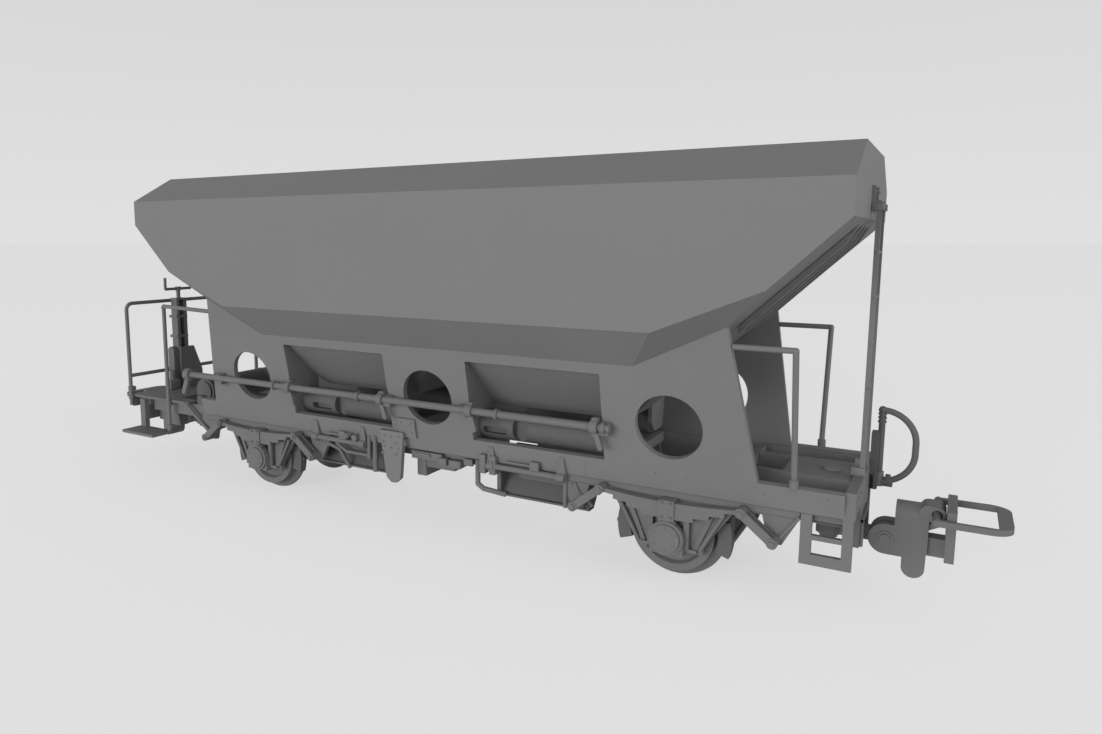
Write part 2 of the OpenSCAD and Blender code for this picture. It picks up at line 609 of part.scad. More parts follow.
strip = 0.5;
tip_r = 1.8;
tip_t = 1.1;                             // the loop is broader at its tip than along its bars
module loop(end) color(gear_grey) home() on_end(end) translate([end > 0 ? front_x : rear_x, 0, 0]) {
  half = loop_w / 2;
  cross_pin(lift_x, loop_z, -half + 0.1, half - 0.1, lift_r);
  for (side = [near, far]) on_side(side)
    slab(-half, -half + strip) link([lift_x, loop_z], [coupler_reach - tip_r, loop_z], 0.28);
  translate([0, 0, loop_z - 0.28]) linear_extrude(0.56) difference() {
    union() {
      translate([coupler_reach - tip_r - 0.01, -half + tip_r]) square([tip_r + 0.01, loop_w - 2 * tip_r]);
      for (s = [-1, 1]) intersection() {
        translate([coupler_reach - tip_r, s * (half - tip_r)]) circle(r = tip_r);
        translate([coupler_reach - tip_r - 0.01, -half]) square([tip_r + 0.01, loop_w]);
      }
    }
    translate([coupler_reach - tip_r - tip_t, -half + strip]) square([tip_r, loop_w - 2 * strip]);
  }
}

// ---- platform and fittings ----
floor_x = rear_x - 5.95;                 // inner edge of the platform floor
floor_end = floor_x + floor_len;
tube_r = tube_d / 2;
post_out = foot_y + 0.44;                // posts stand just outside the floor
floor_half = post_out - tube_r;
step_z = 6.4;
module platform() color(frame_grey) home() on_end(rear) {
  block([floor_x, -floor_half, floor_z - floor_t], [floor_end, floor_half, floor_z]);
  for (side = [near, far]) on_side(side) {
    block([floor_end - 0.6, -floor_half, floor_z - 1.9], [floor_end, -4.9, floor_z - floor_t + 0.01]);
    block([beam_rear_x + 3.4, -floor_half, floor_z - floor_t], [floor_x + 0.01, -sole_in + 0.8, floor_z]);
    bar([beam_rear_x + 4.2, -guard_out - 0.27, floor_z - 0.2],
      [axle_x + hanger_x + 0.4, -guard_out - 0.27, hanger_z + 0.5], 0.25);
  }
}

module steps_rear() color(frame_grey) home() on_end(rear) for (side = [near, far]) on_side(side) {
  block([floor_x + 0.1 - tube_r, -post_out - 3.3, step_z - floor_t], [floor_x + 6.9, -post_out + tube_r, step_z]);
  block([rear_x - 0.6, -post_out - 0.3, step_z - 0.01], [rear_x + 0.5, -foot_y, floor_z - floor_t]);
}

// A quarter bend of handrail tube from +X to +Z, about the given corner centre
module bend(centre, r, turn) translate(centre) rotate(turn) rotate([90, 0, 0]) rotate_extrude(angle = 90)
  translate([r, 0]) circle(r = tube_r, $fn = 24);

bend_r = 1;
rail_end_x = floor_end - tube_r;
module end_railing() color(frame_grey) home() on_end(rear) {
  for (side = [near, far]) on_side(side) {
    bar([rail_end_x, -post_out, floor_z - 1.7], [rail_end_x, -post_out, rail_z - bend_r], tube_r);
    bend([rail_end_x, -post_out + bend_r, rail_z - bend_r], bend_r, [0, 0, 270]);
  }
  bar([rail_end_x, -post_out + bend_r, rail_z], [rail_end_x, post_out - bend_r, rail_z], tube_r);
  bar([rail_end_x, -post_out, 14], [rail_end_x, post_out, 14], tube_r);
}

rail_rear_x = floor_x + 0.1;
module handrail_rear(side) color(frame_grey) home() on_end(rear) on_side(side) {
  foot = [rail_rear_x, -post_out, step_z];
  top = [rail_rear_x, -post_out, rail_z];
  skirt_edge = [skirt_peak[0] + 0.4, -skirt_y(rail_z) + sheet_in / 2, rail_z];
  bar(foot, top, tube_r);
  translate(top) sphere(r = tube_r);
  bar(top, skirt_edge, tube_r);
}

module handrail_front(side) color(frame_grey) home() on_side(side) skirt_tube(rail_z);

// A handrail in the middle plane of the leaning skirt: a post, a bend and a bar back to the skirt's edge
module skirt_tube(top) translate([0, -foot_y, foot_z]) rotate([90 + lean_deg, 0, 0]) translate([0, 0, -sheet / 2]) {
  v = up_sheet(top);
  bar([rail_x, up_sheet(beam_top_z), 0], [rail_x, v, 0], tube_r);
  translate([rail_x, v, 0]) sphere(r = tube_r);
  bar([rail_x, v, 0], [skirt_peak[0] + 0.4, v, 0], tube_r);
}

column_x = rail_end_x - tube_r - 0.75;
column_top = 25.6;
module brake_column() color(gear_grey) home() on_end(rear) {
  for (y = [-0.95, 0.4]) block([column_x - 0.7, y, floor_z], [column_x + 0.7, y + 0.55, column_top]);
  block([column_x + 0.2, -0.95, floor_z], [column_x + 0.7, 0.95, column_top]);
  block([column_x - 0.8, -1.05, column_top - 0.3], [column_x + 0.75, 1.05, column_top]);
  slab(-1.95, -0.94) {
    translate([column_x - 0.7, floor_z]) square([1.4, 6]);
    translate([column_x, floor_z + 6]) circle(r = 0.7);
  }
  cross_slab(column_x - 1.1, column_x - 0.69) polygon([
    [-0.9, floor_z], [3.2, floor_z], [3.2, floor_z + 2.6], [1.7, floor_z + 6.6], [-0.9, floor_z + 6.6]
  ]);
}

module brake_crank() color(gear_grey) home() on_end(rear) translate([column_x, 0, column_top]) {
  cylinder(r = 0.3, h = 1.8);
  translate([0, 0, 1.2]) cylinder(r = 0.48, h = 0.6);
  cross_pin(0, 1.5, -2.4, 2.4, 0.22);
  translate([0, -2.4, 1.4]) cylinder(r = 0.22, h = 1.9);
}

module end_ladder() color(frame_grey) home() {
  low = beam_top_z + 0.2;
  top = 38.6;
  for (side = [near, far]) on_side(side) {
    block([front_x - 0.45, -ladder_w / 2, low], [front_x, -ladder_w / 2 + 0.45, top]);
    block([half_len, -ladder_w / 2, top - 0.5], [front_x - 0.44, -ladder_w / 2 + 0.45, top]);
    block([half_len, -ladder_w / 2, top - 0.5], [half_len + 0.3, -ladder_w / 2 + 0.45, top + 1.4]);
  }
  for (z = [low + rung_pitch : rung_pitch : top - 0.5])
    cross_pin(front_x - 0.22, z, -ladder_w / 2 + 0.1, ladder_w / 2 - 0.1, 0.2);
}

hose_reach = 3.15;
hose_half = 3.7;
hose_mid = 14.1;
hose_y = 4.2;
ferrule_r = hose_d / 2 + 0.09;           // the hose is clamped where it turns
module hose_front() color(dark_grey) home() translate([front_x, hose_y, 0]) {
  pipe_x = 0.85;
  block([0, -0.7, hose_mid - hose_half - 0.8], [pipe_x - 0.1, 0.7, hose_mid + 1.4]);
  translate([pipe_x, 0, hose_mid - hose_half]) cylinder(r = hose_d / 2, h = 2 * hose_half, $fn = 24);
  for (s = [-1, 1]) {
    translate([pipe_x, 0, hose_mid + s * (hose_half - hose_reach)])
      rotate([90, s > 0 ? 0 : 90, 0]) rotate_extrude(angle = 90) translate([hose_reach, 0]) circle(r = hose_d / 2, $fn = 24);
    translate([pipe_x, 0, hose_mid + s * hose_half]) sphere(r = ferrule_r, $fn = 24);
  }
  translate([pipe_x + hose_reach, 0, hose_mid - hose_half + hose_reach])
    cylinder(r = hose_d / 2, h = 2 * (hose_half - hose_reach), $fn = 24);
  translate([pipe_x + 0.5, 0, hose_mid - hose_half - 0.1]) rotate([0, 90, 0]) cylinder(r = 0.42, h = 0.8, $fn = 24);
}

step_low = 4.87;
module steps_front() color(frame_grey) home() for (side = [near, far]) on_side(side) slab(-foot_y, -foot_y + 0.5) {
  difference() {
    translate([front_x - 4.6, step_low]) square([4.5, foot_z - step_low]);
    translate([front_x - 3.6, step_low + 1.05]) square([2.6, 1.4]);
    translate([front_x - 3.6, step_low + 2.9]) square([2.6, foot_z - step_low - 2.9]);
  }
}

hopper_side(near);  // hopper_side_near
hopper_side(far);  // hopper_side_far
hopper_end(front);  // hopper_end_front
hopper_end(rear);  // hopper_end_rear
hopper_saddle();
skirt(near);  // skirt_near
skirt(far);  // skirt_far
side_beam(near);  // side_beam_near
side_beam(far);  // side_beam_far
underframe();
headstock_front();
headstock_rear();
draft_plate(front, front_x, beam_top_z);  // draft_plate_front
draft_plate(rear, rear_x, floor_z - floor_t);  // draft_plate_rear
drum(near);  // drum_near
drum(far);  // drum_far
chute(front, near);  // chute_front_near
chute(front, far);  // chute_front_far
chute(rear, near);  // chute_rear_near
chute(rear, far);  // chute_rear_far
axle_guard(front, near);  // axle_guard_front_near
axle_guard(front, far);  // axle_guard_front_far
axle_guard(rear, near);  // axle_guard_rear_near
axle_guard(rear, far);  // axle_guard_rear_far
axlebox(front, near);  // axlebox_front_near
axlebox(front, far);  // axlebox_front_far
axlebox(rear, near);  // axlebox_rear_near
axlebox(rear, far);  // axlebox_rear_far
spring(front, near);  // spring_front_near
spring(front, far);  // spring_front_far
spring(rear, near);  // spring_rear_near
spring(rear, far);  // spring_rear_far
axle(front);  // axle_front
wheel(front, near);  // wheel_front_near
wheel(front, far);  // wheel_front_far
axle(rear);  // axle_rear
wheel(rear, near);  // wheel_rear_near
wheel(rear, far);  // wheel_rear_far
brake_gear(front);  // brake_gear_front
brake_gear(rear);  // brake_gear_rear
middle_bracket(near);  // middle_bracket_near
middle_bracket(far);  // middle_bracket_far
coupler(front);  // coupler_front
coupler(rear);  // coupler_rear
loop(front);  // loop_front
loop(rear);  // loop_rear
operating_shaft(near);  // operating_shaft_near
operating_shaft(far);  // operating_shaft_far
platform();
end_railing();
brake_column();
brake_crank();
handrail_front(near);  // handrail_front_near
handrail_front(far);  // handrail_front_far
handrail_rear(near);  // handrail_rear_near
handrail_rear(far);  // handrail_rear_far
end_ladder();
hose_front();
steps_front();
steps_rear();
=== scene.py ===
# %% [markdown]
# A grey scale model of an open hopper wagon, 124 mm long over its couplers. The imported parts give
# every piece its real shape and place. This script gives them their finish, and adds the small
# fittings that are too fine to matter for the mechanism: rivets, ribs, rods and tread plate.

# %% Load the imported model
import json
import math

import bmesh
import bpy
from mathutils import Matrix, Vector


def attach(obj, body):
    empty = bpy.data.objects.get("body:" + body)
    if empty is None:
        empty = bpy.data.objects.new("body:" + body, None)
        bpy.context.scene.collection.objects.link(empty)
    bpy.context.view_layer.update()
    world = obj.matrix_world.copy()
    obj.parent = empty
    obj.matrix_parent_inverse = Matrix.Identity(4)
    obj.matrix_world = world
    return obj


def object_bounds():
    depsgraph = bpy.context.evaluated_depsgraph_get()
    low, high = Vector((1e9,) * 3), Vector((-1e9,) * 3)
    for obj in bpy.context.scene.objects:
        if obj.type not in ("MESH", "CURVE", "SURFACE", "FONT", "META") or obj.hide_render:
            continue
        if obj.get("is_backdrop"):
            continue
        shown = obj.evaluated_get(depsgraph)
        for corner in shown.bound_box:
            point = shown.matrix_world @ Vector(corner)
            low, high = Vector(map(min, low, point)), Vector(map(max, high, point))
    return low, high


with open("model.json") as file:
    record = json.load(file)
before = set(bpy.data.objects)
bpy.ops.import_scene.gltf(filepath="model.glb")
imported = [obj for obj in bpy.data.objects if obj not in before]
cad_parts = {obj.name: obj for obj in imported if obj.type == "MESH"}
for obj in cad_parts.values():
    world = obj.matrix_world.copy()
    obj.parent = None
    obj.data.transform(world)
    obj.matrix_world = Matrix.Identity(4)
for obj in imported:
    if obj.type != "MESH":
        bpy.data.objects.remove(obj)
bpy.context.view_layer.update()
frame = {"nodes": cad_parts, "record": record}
MM = 0.001
NEAR = -1
FAR = 1
FRONT = 1
REAR = -1
nodes = frame["nodes"]

# %% [markdown]
# The eye is close to the model, low beside the ladder end, as a person holds a small wagon up to
# look at it. A short lens at that distance gives the strong taper. A lens shift moves the centre of
# perspective away from the middle of the frame, without tilting the camera.

# %% Camera
camera_data = bpy.data.cameras.new("eye")
camera_data.sensor_width = 36
camera_data.lens = 25.85
camera_data.shift_x = 0.0646
camera_data.shift_y = -0.0209
camera_data.clip_start = 0.002
camera_data.clip_end = 20
camera = bpy.data.objects.new("eye", camera_data)
camera.location = (0.05626, -0.08467, 0.03506)
LOOKS_DOWN = 7.56
LOOKS_ROUND = 31.05
camera.rotation_euler = (math.radians(90 - LOOKS_DOWN), 0, math.radians(LOOKS_ROUND))
bpy.context.scene.collection.objects.link(camera)
bpy.context.scene.camera = camera
print("camera stands", round(camera.location.length / MM), "mm from the origin")

# %% [markdown]
# Grey plastic shows its shape only through shade, so the light matters more than the colour. One
# broad soft lamp stands level with the model on its near side. It makes the upright sides the
# brightest faces, and leaves the leaning top band and the ladder end darker. The world fills in,
# more from the sides than from above, and the pale floor sends light back up under the hopper.

# %% Side lamp
LAMP_SIZE = 0.5


def soft_lamp(name, watts, place, aim):
    """A square area lamp at a place, turned to face a point."""
    data = bpy.data.lights.new(name, "AREA")
    data.shape = "SQUARE"
    data.size = LAMP_SIZE
    data.energy = watts
    lamp = bpy.data.objects.new(name, data)
    lamp.location = place
    lamp.rotation_euler = (Vector(aim) - lamp.location).to_track_quat("-Z", "Y").to_euler()
    bpy.context.scene.collection.objects.link(lamp)
    print(name, watts, "W")


soft_lamp("side_lamp", 4.3, place=(-0.16, -0.75, 0.05), aim=(0, 0, 0.02))

# %% [markdown]
# A weaker lamp of the same size looks at the ladder end, a little from above. It lifts the end
# deck and the coupler out of the shade under the sloping end of the hopper.

# %% End lamp
soft_lamp("end_lamp", 1.5, place=(0.72, -0.12, 0.3), aim=(0.03, 0, 0.01))

# %% [markdown]
# The backdrop is pale where it meets the floor and greyer overhead. That gradient is drawn only
# for the eye, through Is Camera Ray. The light that reaches the model has a gradient of its own,
# which is stronger at the level of the floor than overhead.

# %% World
HORIZON_SHADE = 0.75
OVERHEAD_SHADE = 0.64
FILL_LEVEL = 0.9
FILL_OVERHEAD = 0.25
world = bpy.data.worlds.new("studio")
bpy.context.scene.world = world
world.use_nodes = True
tree = world.node_tree
tree.nodes.clear()
SEEN_TOP = 0.45
LIT_TOP = 0.7
world_out = tree.nodes.new("ShaderNodeOutputWorld")
seen = tree.nodes.new("ShaderNodeBackground")
lit = tree.nodes.new("ShaderNodeBackground")
choose = tree.nodes.new("ShaderNodeMixShader")
rays = tree.nodes.new("ShaderNodeLightPath")
place = tree.nodes.new("ShaderNodeTexCoord")
axes = tree.nodes.new("ShaderNodeSeparateXYZ")
rise = tree.nodes.new("ShaderNodeMapRange")
rise.inputs["From Min"].default_value = 0.0
rise.inputs["From Max"].default_value = SEEN_TOP
rise.inputs["To Min"].default_value = HORIZON_SHADE
rise.inputs["To Max"].default_value = OVERHEAD_SHADE
dim = tree.nodes.new("ShaderNodeMapRange")
dim.inputs["From Min"].default_value = 0.0
dim.inputs["From Max"].default_value = LIT_TOP
dim.inputs["To Min"].default_value = FILL_LEVEL
dim.inputs["To Max"].default_value = FILL_OVERHEAD
tree.links.new(place.outputs["Generated"], axes.inputs[0])
tree.links.new(axes.outputs["Z"], rise.inputs["Value"])
tree.links.new(axes.outputs["Z"], dim.inputs["Value"])
tree.links.new(rise.outputs["Result"], seen.inputs["Color"])
tree.links.new(dim.outputs["Result"], lit.inputs["Color"])
tree.links.new(rays.outputs["Is Camera Ray"], choose.inputs["Fac"])
tree.links.new(lit.outputs[0], choose.inputs[1])
tree.links.new(seen.outputs[0], choose.inputs[2])
tree.links.new(choose.outputs[0], world_out.inputs["Surface"])
bpy.context.scene.view_settings.view_transform = "Standard"
print("world fill", FILL_LEVEL, "level and", FILL_OVERHEAD, "overhead")

# %% [markdown]
# The floor is a plain pale sheet. To the eye it glows a little, so that it reads as near white and
# meets the backdrop without a hard line, and it still takes the model's soft shadow.

# %% Floor
BOUNCE_SHADE = 0.8
SEEN_SHADE = 0.34
GLOW_NEAR, GLOW_FAR = 0.58, 0.60
FADE_FROM, FADE_TO = 0.1, 1.2
FLOOR_HALF = 6
floor_paint = bpy.data.materials.new("pale_floor")
floor_paint.use_nodes = True
tree = floor_paint.node_tree
tree.nodes.clear()
floor_out = tree.nodes.new("ShaderNodeOutputMaterial")
matt = tree.nodes.new("ShaderNodeBsdfDiffuse")
matt.inputs["Color"].default_value = (BOUNCE_SHADE, BOUNCE_SHADE, BOUNCE_SHADE, 1)
shadowed = tree.nodes.new("ShaderNodeBsdfDiffuse")
shadowed.inputs["Color"].default_value = (SEEN_SHADE, SEEN_SHADE, SEEN_SHADE, 1)
glow = tree.nodes.new("ShaderNodeEmission")
both = tree.nodes.new("ShaderNodeAddShader")
pick = tree.nodes.new("ShaderNodeMixShader")
rays = tree.nodes.new("ShaderNodeLightPath")
spot = tree.nodes.new("ShaderNodeTexCoord")
reach = tree.nodes.new("ShaderNodeVectorMath")
reach.operation = "LENGTH"
fade = tree.nodes.new("ShaderNodeMapRange")
fade.interpolation_type = "SMOOTHSTEP"
fade.inputs["From Min"].default_value = FADE_FROM
fade.inputs["From Max"].default_value = FADE_TO
fade.inputs["To Min"].default_value = GLOW_NEAR
fade.inputs["To Max"].default_value = GLOW_FAR
tree.links.new(spot.outputs["Object"], reach.inputs[0])
tree.links.new(reach.outputs["Value"], fade.inputs["Value"])
tree.links.new(fade.outputs["Result"], glow.inputs["Color"])
tree.links.new(shadowed.outputs[0], both.inputs[0])
tree.links.new(glow.outputs[0], both.inputs[1])
tree.links.new(rays.outputs["Is Camera Ray"], pick.inputs["Fac"])
tree.links.new(matt.outputs[0], pick.inputs[1])
tree.links.new(both.outputs[0], pick.inputs[2])
tree.links.new(pick.outputs[0], floor_out.inputs["Surface"])

floor_mesh = bpy.data.meshes.new("floor")
bm = bmesh.new()
bmesh.ops.create_grid(bm, x_segments=1, y_segments=1, size=FLOOR_HALF)
bm.to_mesh(floor_mesh)
bm.free()
floor_mesh.materials.append(floor_paint)
floor = bpy.data.objects.new("floor", floor_mesh)
bpy.context.scene.collection.objects.link(floor)
floor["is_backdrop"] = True
print("floor ready")

# %% [markdown]
# Moulded plastic is never one flat colour close up. It has a very fine grain from the mould, and
# faint broad clouds where the material flowed. One node group makes both from the Object
# coordinates, and each material sets how strong they are.

# %% Grain group
def noise(group, **inputs):
    node = group.nodes.new("ShaderNodeTexNoise")
    for name, value in inputs.items():
        node.inputs[name].default_value = value
    return node


GRAIN_SHARE = 0.35                       # of the fine grain, added to the clouds
skin = bpy.data.node_groups.new("moulded_skin", "ShaderNodeTree")
defaults = (
    ("Dark", 0.5), ("Light", 0.5), ("Smoothest", 0.5), ("Roughest", 0.7), ("Grain size", 0.1),
)
for name, value in defaults:
    socket = skin.interface.new_socket(name, in_out="INPUT", socket_type="NodeSocketFloat")
    socket.default_value = value
skin.interface.new_socket("Colour", in_out="OUTPUT", socket_type="NodeSocketColor")
skin.interface.new_socket("Roughness", in_out="OUTPUT", socket_type="NodeSocketFloat")
skin.interface.new_socket("Height", in_out="OUTPUT", socket_type="NodeSocketFloat")
given = skin.nodes.new("NodeGroupInput")
result = skin.nodes.new("NodeGroupOutput")
where = skin.nodes.new("ShaderNodeTexCoord")
per_mm = skin.nodes.new("ShaderNodeMath")
per_mm.operation = "DIVIDE"
per_mm.inputs[0].default_value = 1 / MM
clouds = noise(skin, Scale=70.0, Detail=3.0, Roughness=0.5)
grain = noise(skin, Detail=2.0, Roughness=0.6)
mixed = skin.nodes.new("ShaderNodeMath")
mixed.operation = "MULTIPLY_ADD"
mixed.inputs[1].default_value = GRAIN_SHARE
shade = skin.nodes.new("ShaderNodeMapRange")
shade.inputs["From Min"].default_value = 0.40
shade.inputs["From Max"].default_value = 0.95
rough = skin.nodes.new("ShaderNodeMapRange")
rough.inputs["From Min"].default_value = 0.3
rough.inputs["From Max"].default_value = 0.7
links = skin.links
links.new(given.outputs["Grain size"], per_mm.inputs[1])
links.new(where.outputs["Object"], clouds.inputs["Vector"])
links.new(where.outputs["Object"], grain.inputs["Vector"])
links.new(per_mm.outputs[0], grain.inputs["Scale"])
links.new(grain.outputs["Fac"], mixed.inputs[0])
links.new(clouds.outputs["Fac"], mixed.inputs[2])
links.new(mixed.outputs[0], shade.inputs["Value"])
links.new(given.outputs["Dark"], shade.inputs["To Min"])
links.new(given.outputs["Light"], shade.inputs["To Max"])
links.new(clouds.outputs["Fac"], rough.inputs["Value"])
links.new(given.outputs["Smoothest"], rough.inputs["To Min"])
links.new(given.outputs["Roughest"], rough.inputs["To Max"])
links.new(shade.outputs["Result"], result.inputs["Colour"])
links.new(rough.outputs["Result"], result.inputs["Roughness"])
links.new(grain.outputs["Fac"], result.inputs["Height"])
print("grain group has", len(skin.nodes), "nodes")

# %% [markdown]
# The finishes differ only a little, as on a model moulded from one grey plastic: the body is the
# lightest, and the parts low in the frame are painted a touch darker, the darkest grey most of all.
# That darkening is painted shade for their place under the hopper, not a tone of the plastic. The
# platform and its steps have a raised tread. Crossed checks, turned by an eighth, raise it in the
# same Bump node.

# %% Finishes
def grey_plastic(name, dark, light, tread=0.0):
    material = bpy.data.materials.new(name)
    material.use_nodes = True
    tree = material.node_tree
    shader = tree.nodes["Principled BSDF"]
    shader.inputs["Specular IOR Level"].default_value = 0.25
    look = tree.nodes.new("ShaderNodeGroup")
    look.node_tree = skin
    look.inputs["Dark"].default_value = dark
    look.inputs["Light"].default_value = light
    look.inputs["Smoothest"].default_value = 0.55
    look.inputs["Roughest"].default_value = 0.72
    look.inputs["Grain size"].default_value = 0.12
    bump = tree.nodes.new("ShaderNodeBump")
    bump.inputs["Strength"].default_value = 0.12
    bump.inputs["Distance"].default_value = 0.02 * MM
    tree.links.new(look.outputs["Colour"], shader.inputs["Base Color"])
    tree.links.new(look.outputs["Roughness"], shader.inputs["Roughness"])
    tree.links.new(bump.outputs["Normal"], shader.inputs["Normal"])
    if tread:
        bump.inputs["Strength"].default_value = 1.0
        bump.inputs["Distance"].default_value = 0.12 * MM
        where = tree.nodes.new("ShaderNodeTexCoord")
        turned = tree.nodes.new("ShaderNodeMapping")
        turned.inputs["Rotation"].default_value = (0, 0, math.radians(45))
        checks = tree.nodes.new("ShaderNodeTexChecker")
        checks.inputs["Scale"].default_value = 1 / (tread * MM)
        tree.links.new(where.outputs["Object"], turned.inputs["Vector"])
        tree.links.new(turned.outputs["Vector"], checks.inputs["Vector"])
        tree.links.new(checks.outputs["Fac"], bump.inputs["Height"])
    else:
        tree.links.new(look.outputs["Height"], bump.inputs["Height"])
    return material


# the frame, running and gear greys are darker than the body as painted shade low under the hopper
finishes = {
    "body_plastic": grey_plastic("body_plastic", 0.205, 0.225),
    "frame_plastic": grey_plastic("frame_plastic", 0.185, 0.210),
    "running_plastic": grey_plastic("running_plastic", 0.170, 0.200),
    "gear_plastic": grey_plastic("gear_plastic", 0.125, 0.150),
}
tread_finish = grey_plastic("tread_plastic", 0.180, 0.205, tread=0.5)
treaded = ("platform", "steps_rear")
for part in frame["record"]["subparts"]:
    node = nodes[part["node"]]
    node.data.materials.clear()
    finish = tread_finish if part["node"] in treaded else finishes[part["material_slot"]]
    node.data.materials.append(finish)
print("finished", len(nodes), "packed pieces")

# %% [markdown]
# The small fittings are all made of three simple shapes: a bar between two points, a box with
# softened edges, and a flat plate cut to an outline. Each helper adds to an open bmesh, so one
# piece can hold a whole family of fittings. Places are given in millimetres from the middle of
# the hopper, and the distance outwards from the middle plane.

# %% Helpers
HOPPER_X = 3.95
SKIRT_FOOT = 8.36
SKIRT_FOOT_Z = 9.75
LEAN = 0.207
RIVET_SUNK = 0.05
RIVET_TAPER = 0.55
SHARP_FROM = 32


def at(x, out, z, side=NEAR):
    """A point, mirrored to either side."""
    return Vector(((x + HOPPER_X) * MM, side * out * MM, z * MM))


def skirt_out(z):
    """How far the skirt's outer face stands from the middle plane at a height."""
    return SKIRT_FOOT + LEAN * (z - SKIRT_FOOT_Z)


def bar(bm, start, end, radius, sides=14, end_radius=None):
    run = end - start
    turn = run.to_track_quat("Z", "Y").to_matrix().to_4x4()
    bmesh.ops.create_cone(
        bm, cap_ends=True, segments=sides, radius1=radius * MM,
        radius2=(radius if end_radius is None else end_radius) * MM,
        depth=run.length, matrix=Matrix.Translation((start + end) / 2) @ turn,
    )


def bent_bar(bm, points, radius):
    for start, end in zip(points, points[1:]):
        bar(bm, start, end, radius)
    for corner in points[1:-1]:
        bmesh.ops.create_uvsphere(
            bm, u_segments=12, v_segments=8, radius=radius * MM, matrix=Matrix.Translation(corner)
        )


def box(bm, corner, opposite, edge=0.06):
    low = Vector(map(min, corner, opposite))
    high = Vector(map(max, corner, opposite))
    size = Matrix.Diagonal(high - low).to_4x4()
    made = bmesh.ops.create_cube(bm, size=1, matrix=Matrix.Translation((low + high) / 2) @ size)
    edges = list(dict.fromkeys(e for v in made["verts"] for e in v.link_edges))
    bmesh.ops.bevel(
        bm, geom=edges, offset=edge * MM, offset_type="OFFSET", segments=2, profile=0.5,
        affect="EDGES", material=-1,
    )


def plate(bm, outline, through):
    """A flat outline of points, made solid along a vector."""
    face = bm.faces.new([bm.verts.new(p) for p in outline])
    grown = bmesh.ops.extrude_face_region(bm, geom=[face])
    moved = [v for v in grown["geom"] if isinstance(v, bmesh.types.BMVert)]
    bmesh.ops.translate(bm, vec=through, verts=moved)


def rivet(bm, place, outward, radius=0.17, height=0.14):
    outward = Vector(outward).normalized()
    foot = place - outward * RIVET_SUNK * MM
    top = place + outward * height * MM
    bar(bm, foot, top, radius, sides=10, end_radius=radius * RIVET_TAPER)


def add_piece(name, bm, slot, body="wagon"):
    """Closes the bmesh into a piece that rides on a body, in that slot's finish."""
    bmesh.ops.recalc_face_normals(bm, faces=bm.faces)
    mesh = bpy.data.meshes.new(name)
    bm.to_mesh(mesh)
    bm.free()
    for polygon in mesh.polygons:
        polygon.use_smooth = True
    mesh.set_sharp_from_angle(angle=math.radians(SHARP_FROM))
    mesh.materials.append(finishes[slot])
    piece = bpy.data.objects.new(name, mesh)
    bpy.context.scene.collection.objects.link(piece)
    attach(piece, body)
    print(name, len(mesh.polygons), "faces")


print("the middle of the hopper lies", HOPPER_X, "mm ahead of the origin")

# %% [markdown]
# Stiffening ribs run down under both end slopes of the hopper, where the load presses hardest.
# Each is a shallow channel, drawn as one flat outline along the slope and given a small width.

# %% Slope ribs
SLOPE_TOP = (44.4, 36.25)
SLOPE_FOOT = (34.2, 26.55)
RIB_DEPTH = 0.85
RIB_HALF = 0.35
top_x, top_z = SLOPE_TOP
foot_x, foot_z = SLOPE_FOOT
bm = bmesh.new()
for end in (FRONT, REAR):
    for out in (-5.2, -1.6, 1.6, 5.2):
        edge = out - RIB_HALF
        outline = [
            at(end * top_x, edge, top_z, FAR), at(end * foot_x, edge, foot_z, FAR),
            at(end * foot_x, edge, foot_z - RIB_DEPTH, FAR),
            at(end * (top_x - 0.9), edge, top_z - 1.3 - RIB_DEPTH * 0.3, FAR),
        ]
        plate(bm, outline, Vector((0, 2 * RIB_HALF * MM, 0)))
add_piece("slope_ribs", bm, "body_plastic")

# %% [markdown]
# Thin cover strips hide the joints of the side beam. They stand out by a hair and are drawn in the
# darkest grey, as painted shade for the grooves at the joints, so that they read as dark lines.

# %% Beam seams
SEAM = 0.11
SEAM_SUNK = 0.12
SEAM_PROUD = 0.04
SEAM_EDGE = 0.01
SEAM_STEPS = (9.95, 10.9, 11.6)          # the strip follows the leaning skirt in two steps
BEAM_ENDS = (-40.2, 44.8)
bm = bmesh.new()
for side in (NEAR, FAR):
    for x in (-37.9, -19.6, 19.6, 37.9):
        for low, high in zip(SEAM_STEPS, SEAM_STEPS[1:]):
            back = at(x, skirt_out(low) - SEAM_SUNK, low, side)
            face = at(x + SEAM, skirt_out(low) + SEAM_PROUD, high, side)
            box(bm, back, face, SEAM_EDGE)
    start_x, end_x = BEAM_ENDS
    box(bm, at(start_x, 8.2, 9.72, side), at(end_x, 8.385, 9.80, side), SEAM_EDGE)
    box(bm, at(start_x, 8.0, 8.95, side), at(end_x, 8.22, 9.05, side), SEAM_EDGE)
# the strips' darkest grey is painted shade of the joint grooves
add_piece("beam_seams", bm, "gear_plastic")

# %% [markdown]
# The riveted bracket in the middle of each side ties the skirt to the frame. Only its rivets are
# added: two rows on the upper plate and two on the tapered one, and a line of small ones along the
# foot of the skirt. A short cone reads as a rivet.

# %% Bracket rivets
PAD_PROUD = 0.28
PLATE_PROUD = 1.08
FOOT_ROW_Z = 11.55
FOOT_ROW = (-37.2, -30.5, -27.3, -14, 0.8, 14, 27.3, 30.5, 37.2, 43.6)
bm = bmesh.new()
for side in (NEAR, FAR):
    outward = Vector((0, side, 0))
    for x in (-4.2, -2.75):
        for z in (11.9, 13.1):
            rivet(bm, at(x, skirt_out(z) + PAD_PROUD, z, side), outward)
    for x in (-6.7, -5.6, -4.5):
        for z in (9.8, 11.2):
            rivet(bm, at(x, SKIRT_FOOT + PLATE_PROUD, z, side), outward, 0.15)
    for x in FOOT_ROW:
        rivet(bm, at(x, skirt_out(FOOT_ROW_Z), FOOT_ROW_Z, side), outward, 0.12, 0.08)
add_piece("bracket_rivets", bm, "body_plastic")

# %% [markdown]
# Two air pipes hang under each side beam. Tapered hangers hold them, and a clamp closes round the
# pipe at each hanger. Behind the rear one hangs the small brake lever with its rods.

